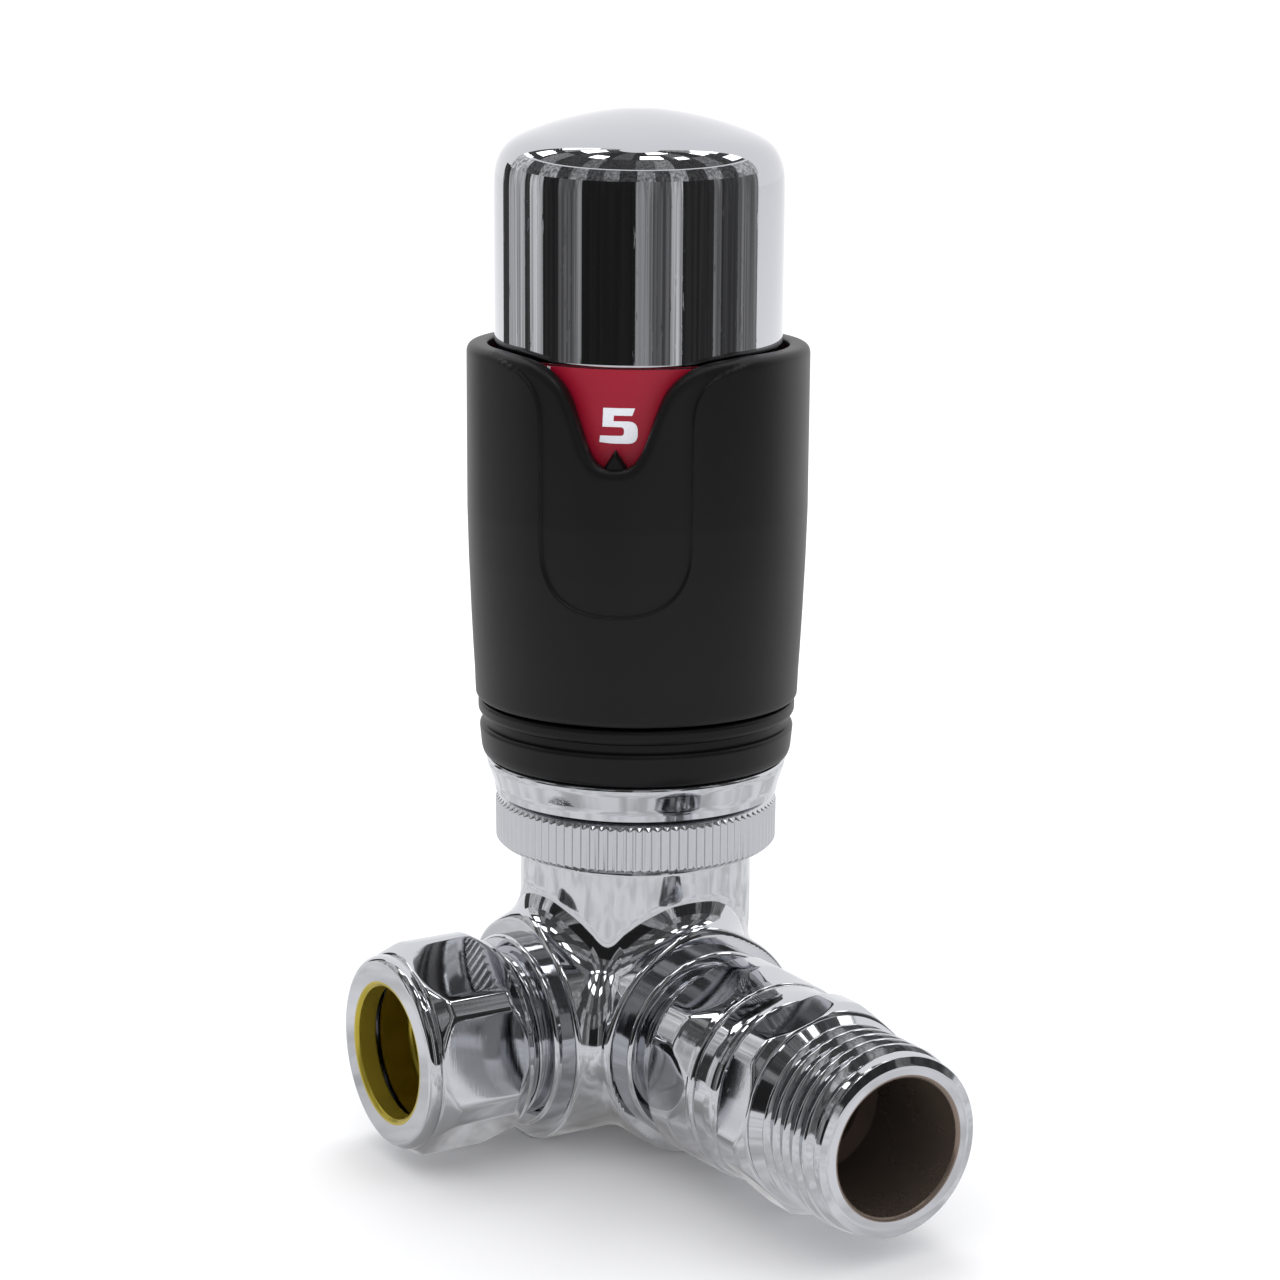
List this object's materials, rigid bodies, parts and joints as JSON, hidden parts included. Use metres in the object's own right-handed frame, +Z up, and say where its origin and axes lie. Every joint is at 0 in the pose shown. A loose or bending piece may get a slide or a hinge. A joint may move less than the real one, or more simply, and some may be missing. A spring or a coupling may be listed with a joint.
{
  "type": "thermostatic radiator valve",
  "caption": "corner thermostatic radiator valve with turning handwheel, pipe compression socket and union tail, in chrome and black",
  "frame": {"origin": "middle of the thread on the radiator tail, on the tail's axis", "axes": "+X out of the radiator tail, -Y out of the pipe socket, +Z up the thermostatic head"},
  "size_m": [0.073, 0.0525, 0.1186],
  "materials": {
    "chrome_body": "polished chrome plate on a brass forging",
    "chrome_nut": "polished chrome plate, turned",
    "nickel_tail": "bright plated, turned and threaded",
    "chrome_collar": "polished chrome ring",
    "chrome_cap": "mirror chrome",
    "bare_brass": "bare turned brass",
    "insert_brass": "nickelled turned brass",
    "seal_fibre": "fibre-filled sealing washer",
    "seal_rubber": "black EPDM",
    "stainless": "ground stainless rod",
    "spring_steel": "spring wire",
    "black_plastic": "satin black moulding",
    "black_wheel": "satin black moulding",
    "dark_plastic": "natural dark moulding",
    "grey_plastic": "plain grey moulding",
    "white_plastic": "white acetal",
    "crimson_band": "crimson band with white figures",
    "capsule_brass": "drawn brass can"
  },
  "bodies": {
    "valve": {"valve_body": "chrome_body", "olive": "bare_brass", "tail_washer": "seal_fibre", "radiator_tail": "nickel_tail", "insert_housing": "insert_brass", "insert_o_ring": "seal_rubber", "gland_nut": "bare_brass", "gland_o_ring": "seal_rubber", "return_spring": "spring_steel", "retaining_ring": "spring_steel", "head_collar": "chrome_collar", "head_base": "black_plastic", "guide_cage": "dark_plastic", "dial_shell": "grey_plastic", "number_band": "crimson_band", "chrome_cap": "chrome_cap"},
    "pipe_nut": {"compression_nut": "chrome_nut"},
    "tail_nut": {"union_nut": "chrome_nut"},
    "head_nut_ring": {"head_nut": "chrome_nut"},
    "stem": {"spindle": "stainless", "disc_holder": "bare_brass", "seat_washer": "seal_rubber"},
    "wheel": {"handwheel": "black_wheel", "drive_ring": "dark_plastic", "setting_pointer": "black_plastic"},
    "carrier": {"sensor_carrier": "grey_plastic", "overtravel_spring": "spring_steel"},
    "sensor": {"sensor_capsule": "capsule_brass", "push_rod": "white_plastic"}
  },
  "joints": [
    {"name": "handwheel_turn", "type": "hinge", "parent": "valve", "child": "wheel", "pos_m": [-0.047, 0, 0.06], "axis": [0, 0, 1], "range_deg": [-300, 0]},
    {"name": "carrier_slide", "type": "slide", "parent": "valve", "child": "carrier", "axis": [0, 0, 1], "range_m": [-0.0046, 0]},
    {"name": "sensor_slide", "type": "slide", "parent": "carrier", "child": "sensor", "axis": [0, 0, 1], "range_m": [0, 0.0021], "deforming": ["overtravel_spring"]},
    {"name": "stem_slide", "type": "slide", "parent": "valve", "child": "stem", "axis": [0, 0, 1], "range_m": [-0.0025, 0], "deforming": ["return_spring"]},
    {"name": "pipe_nut_turn", "type": "hinge", "parent": "valve", "child": "pipe_nut", "pos_m": [-0.047, -0.026, 0], "axis": [0, -1, 0], "continuous": true},
    {"name": "tail_nut_turn", "type": "hinge", "parent": "valve", "child": "tail_nut", "pos_m": [-0.019, 0, 0], "axis": [1, 0, 0], "continuous": true},
    {"name": "head_nut_turn", "type": "hinge", "parent": "valve", "child": "head_nut_ring", "pos_m": [-0.047, 0, 0.026], "axis": [0, 0, 1], "continuous": true}
  ],
  "couplings": [
    {"joint": "carrier_slide", "follows": "handwheel_turn", "m_per_rad": 0.00087853},
    {"joint": "sensor_slide", "follows": "handwheel_turn", "m_per_rad": -0.00040107},
    {"joint": "stem_slide", "follows": "handwheel_turn", "m_per_rad": 0.00047746}
  ]
}
